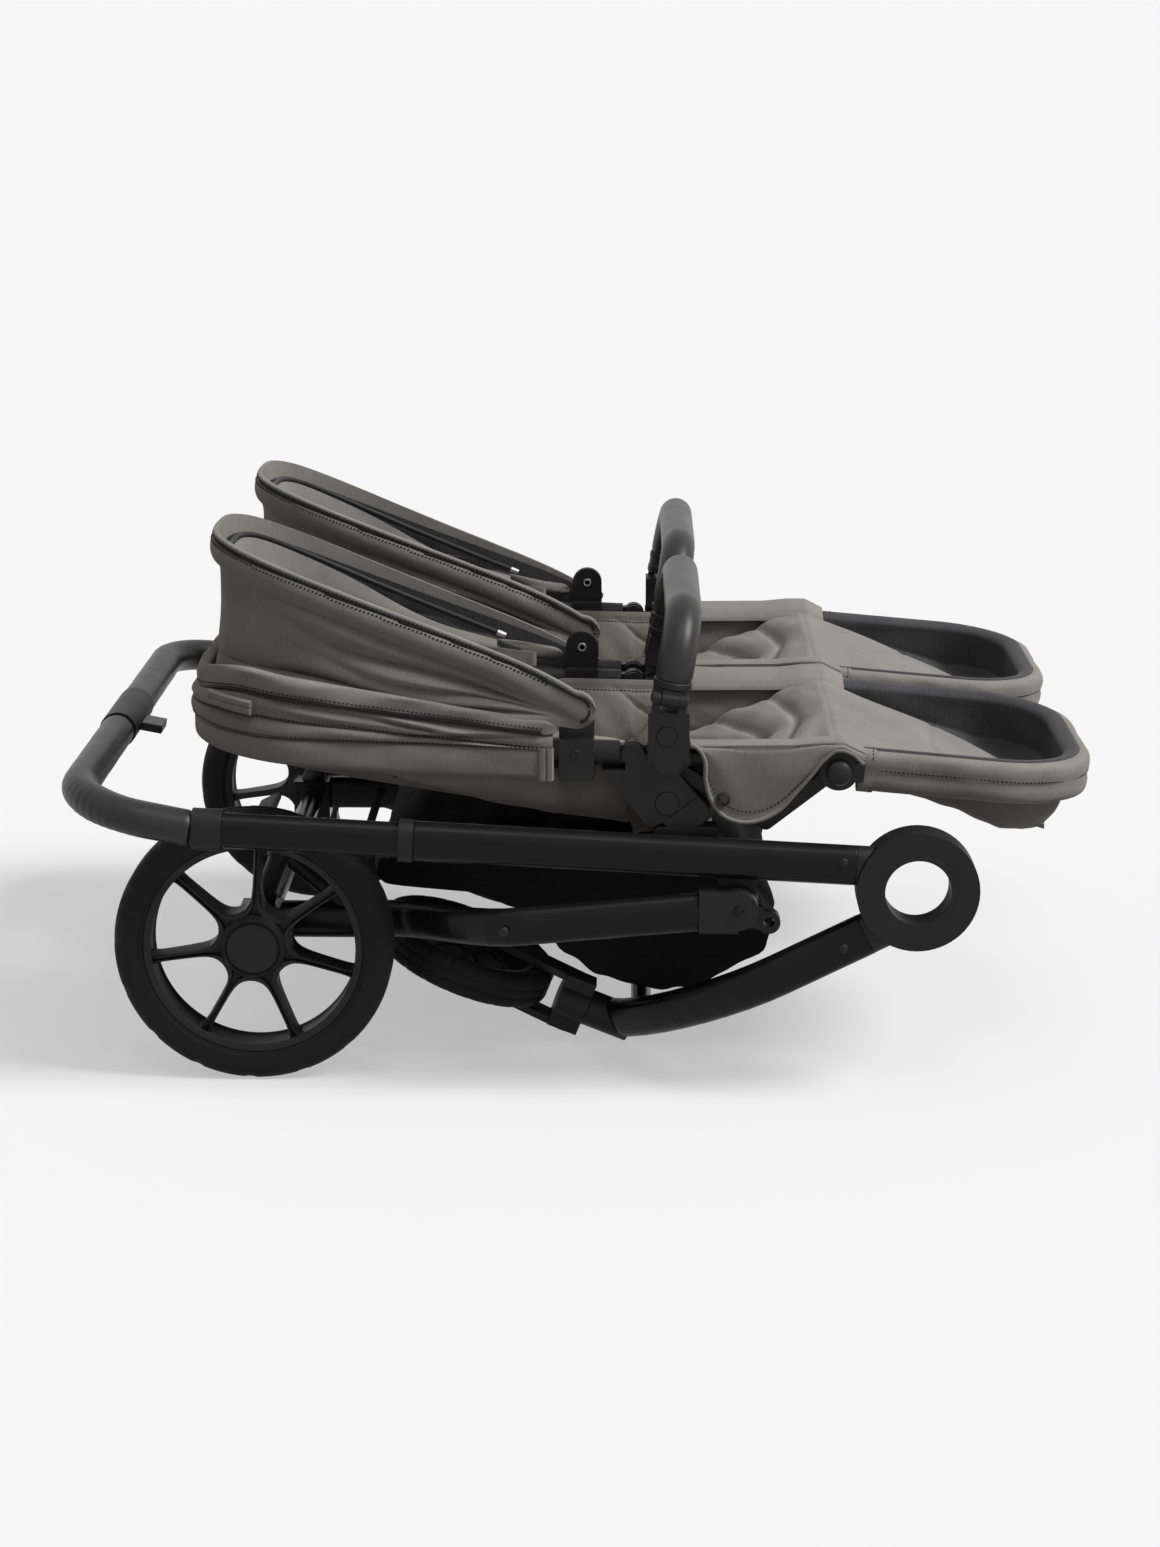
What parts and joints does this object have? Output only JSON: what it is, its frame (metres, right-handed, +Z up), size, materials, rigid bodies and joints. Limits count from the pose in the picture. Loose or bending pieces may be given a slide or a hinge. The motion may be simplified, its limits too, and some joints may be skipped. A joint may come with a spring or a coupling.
{
  "type": "twin pram",
  "caption": "Folded side-by-side twin pram: telescopic push handle, ring-hinged legs, spoked wheels and two flat reclined seats with hoods and bumper bars.",
  "frame": {"origin": "floor level under the middle of the folded pram", "axes": "+X towards the footrests, +Y towards the left side of the pram, +Z up"},
  "size_m": [1.0829, 0.768, 0.5651],
  "materials": {
    "frame_black": "satin black powder coat",
    "plastic_black": "fine-grained matt black",
    "steel": "dark zinc",
    "grip_leather": "fine-grained black leatherette",
    "tyre_rubber": "matt black foam rubber",
    "basket_cloth": "black woven cloth",
    "seat_cloth": "warm grey fine weave"
  },
  "bodies": {
    "chassis": {"push_tube_right": "frame_black", "push_tube_left": "frame_black", "tube_collars": "plastic_black", "push_rings": "plastic_black", "ring_sleeves": "plastic_black", "seat_beam": "frame_black", "seat_posts": "plastic_black", "leg_brackets": "plastic_black", "pivot_pins": "steel"},
    "handle": {"handle_bar": "frame_black", "handle_grips": "grip_leather", "grip_ferrules": "plastic_black", "handle_sleeve": "plastic_black"},
    "trigger": {"handle_trigger": "plastic_black"},
    "front_frame": {"front_leg_right": "frame_black", "front_leg_left": "frame_black", "front_rings": "plastic_black", "front_cross_tube": "frame_black", "caster_sockets": "plastic_black"},
    "rear_frame": {"rear_leg_right": "frame_black", "rear_leg_left": "frame_black", "leg_knuckles": "plastic_black", "rear_axle": "frame_black", "suspension": "steel", "basket": "basket_cloth"},
    "pedal": {"brake_pedal": "plastic_black"},
    "caster_right": {"caster_fork_right": "plastic_black"},
    "wheel_front_right": {"front_wheel_right": "plastic_black", "front_tyre_right": "tyre_rubber"},
    "wheel_rear_right": {"rear_wheel_right": "plastic_black", "rear_tyre_right": "tyre_rubber"},
    "seat_right": {"seat_frame_right": "plastic_black", "seat_pad_right": "seat_cloth", "bar_clip_right": "plastic_black"},
    "back_right": {"back_frame_right": "frame_black", "back_shell_right": "seat_cloth"},
    "canopy_mid_right": {"canopy_band_right": "seat_cloth"},
    "canopy_front_right": {"canopy_hood_right": "seat_cloth"},
    "bumper_right": {"bumper_bar_right": "grip_leather"},
    "legrest_right": {"legrest_frame_right": "plastic_black", "legrest_cover_right": "seat_cloth"},
    "bar_button_right": {"clip_button_right": "plastic_black"},
    "seat_button_right": {"release_button_right": "plastic_black"},
    "caster_left": {"caster_fork_left": "plastic_black"},
    "wheel_front_left": {"front_wheel_left": "plastic_black", "front_tyre_left": "tyre_rubber"},
    "wheel_rear_left": {"rear_wheel_left": "plastic_black", "rear_tyre_left": "tyre_rubber"},
    "seat_left": {"seat_frame_left": "plastic_black", "seat_pad_left": "seat_cloth", "bar_clip_left": "plastic_black"},
    "back_left": {"back_frame_left": "frame_black", "back_shell_left": "seat_cloth"},
    "canopy_mid_left": {"canopy_band_left": "seat_cloth"},
    "canopy_front_left": {"canopy_hood_left": "seat_cloth"},
    "bumper_left": {"bumper_bar_left": "grip_leather"},
    "legrest_left": {"legrest_frame_left": "plastic_black", "legrest_cover_left": "seat_cloth"},
    "bar_button_left": {"clip_button_left": "plastic_black"},
    "seat_button_left": {"release_button_left": "plastic_black"}
  },
  "joints": [
    {"name": "handle_slide", "type": "slide", "parent": "chassis", "child": "handle", "axis": [-0.9986, 0, 0.0523], "range_m": [-0.045, 0.06]},
    {"name": "trigger_pull", "type": "slide", "parent": "handle", "child": "trigger", "axis": [-0.9816, 0, 0.1908], "range_m": [0, 0.004], "stiffness_N_per_m": 600},
    {"name": "front_leg_fold", "type": "hinge", "parent": "chassis", "child": "front_frame", "pos_m": [0.35258, 0, 0.227], "axis": [0, -1, 0], "range_deg": [0, 150]},
    {"name": "rear_leg_fold", "type": "hinge", "parent": "chassis", "child": "rear_frame", "pos_m": [0.16858, 0, 0.207], "axis": [0, -1, 0], "range_deg": [0, 102]},
    {"name": "brake_press", "type": "hinge", "parent": "rear_frame", "child": "pedal", "pos_m": [-0.33742, 0, 0.147], "axis": [0, -1, 0], "range_deg": [0, 20]},
    {"name": "caster_swivel_right", "type": "hinge", "parent": "front_frame", "child": "caster_right", "pos_m": [0.04058, -0.205, 0.02604], "axis": [-0.9272, 0, 0.3746], "range_deg": [-20, 90]},
    {"name": "front_wheel_spin_right", "type": "hinge", "parent": "caster_right", "child": "wheel_front_right", "pos_m": [-0.1226, -0.175, 0.09197], "axis": [0.3746, 0, 0.9272], "continuous": true},
    {"name": "rear_wheel_spin_right", "type": "hinge", "parent": "rear_frame", "child": "wheel_rear_right", "pos_m": [-0.33742, -0.312, 0.147], "axis": [0, 1, 0], "continuous": true},
    {"name": "seat_lift_right", "type": "slide", "parent": "chassis", "child": "seat_right", "axis": [-0.628, 0, 0.7782], "range_m": [0, 0.16]},
    {"name": "recline_right", "type": "hinge", "parent": "seat_right", "child": "back_right", "pos_m": [0.06058, -0.18, 0.363], "axis": [0, -1, 0], "range_deg": [-40, 0]},
    {"name": "canopy_mid_right", "type": "hinge", "parent": "back_right", "child": "canopy_mid_right", "pos_m": [0.00258, -0.18, 0.403], "axis": [0, 1, 0], "range_deg": [0, 45]},
    {"name": "canopy_open_right", "type": "hinge", "parent": "canopy_mid_right", "child": "canopy_front_right", "pos_m": [0.00258, -0.18, 0.403], "axis": [0, 1, 0], "range_deg": [0, 45]},
    {"name": "bumper_gate_right", "type": "hinge", "parent": "seat_right", "child": "bumper_right", "pos_m": [0.09756, -0.353, 0.42234], "axis": [-0.9925, 0, 0.1219], "range_deg": [-80, 0]},
    {"name": "legrest_drop_right", "type": "hinge", "parent": "seat_right", "child": "legrest_right", "pos_m": [0.27058, -0.18, 0.347], "axis": [0, -1, 0], "range_deg": [-60, 0]},
    {"name": "bar_button_press_right", "type": "slide", "parent": "seat_right", "child": "bar_button_right", "axis": [0, 1, 0], "range_m": [0, 0.003], "stiffness_N_per_m": 600},
    {"name": "seat_button_press_right", "type": "slide", "parent": "seat_right", "child": "seat_button_right", "axis": [0, 1, 0], "range_m": [0, 0.003], "stiffness_N_per_m": 600},
    {"name": "caster_swivel_left", "type": "hinge", "parent": "front_frame", "child": "caster_left", "pos_m": [0.04058, 0.205, 0.02604], "axis": [0.9272, 0, -0.3746], "range_deg": [-20, 90]},
    {"name": "front_wheel_spin_left", "type": "hinge", "parent": "caster_left", "child": "wheel_front_left", "pos_m": [-0.1226, 0.175, 0.09197], "axis": [0.3746, 0, 0.9272], "continuous": true},
    {"name": "rear_wheel_spin_left", "type": "hinge", "parent": "rear_frame", "child": "wheel_rear_left", "pos_m": [-0.33742, 0.312, 0.147], "axis": [0, 1, 0], "continuous": true},
    {"name": "seat_lift_left", "type": "slide", "parent": "chassis", "child": "seat_left", "axis": [-0.628, 0, 0.7782], "range_m": [0, 0.16]},
    {"name": "recline_left", "type": "hinge", "parent": "seat_left", "child": "back_left", "pos_m": [0.06058, 0.18, 0.363], "axis": [0, -1, 0], "range_deg": [-40, 0]},
    {"name": "canopy_mid_left", "type": "hinge", "parent": "back_left", "child": "canopy_mid_left", "pos_m": [0.00258, 0.18, 0.403], "axis": [0, 1, 0], "range_deg": [0, 45]},
    {"name": "canopy_open_left", "type": "hinge", "parent": "canopy_mid_left", "child": "canopy_front_left", "pos_m": [0.00258, 0.18, 0.403], "axis": [0, 1, 0], "range_deg": [0, 45]},
    {"name": "bumper_gate_left", "type": "hinge", "parent": "seat_left", "child": "bumper_left", "pos_m": [0.09756, 0.353, 0.42234], "axis": [0.9925, 0, -0.1219], "range_deg": [-80, 0]},
    {"name": "legrest_drop_left", "type": "hinge", "parent": "seat_left", "child": "legrest_left", "pos_m": [0.27058, 0.18, 0.347], "axis": [0, -1, 0], "range_deg": [-60, 0]},
    {"name": "bar_button_press_left", "type": "slide", "parent": "seat_left", "child": "bar_button_left", "axis": [0, -1, 0], "range_m": [0, 0.003], "stiffness_N_per_m": 600},
    {"name": "seat_button_press_left", "type": "slide", "parent": "seat_left", "child": "seat_button_left", "axis": [0, -1, 0], "range_m": [0, 0.003], "stiffness_N_per_m": 600}
  ],
  "couplings": [
    {"joint": "rear_leg_fold", "follows": "front_leg_fold", "ratio": 0.68},
    {"joint": "canopy_mid_right", "follows": "canopy_open_right", "ratio": 1},
    {"joint": "canopy_mid_left", "follows": "canopy_open_left", "ratio": 1}
  ]
}
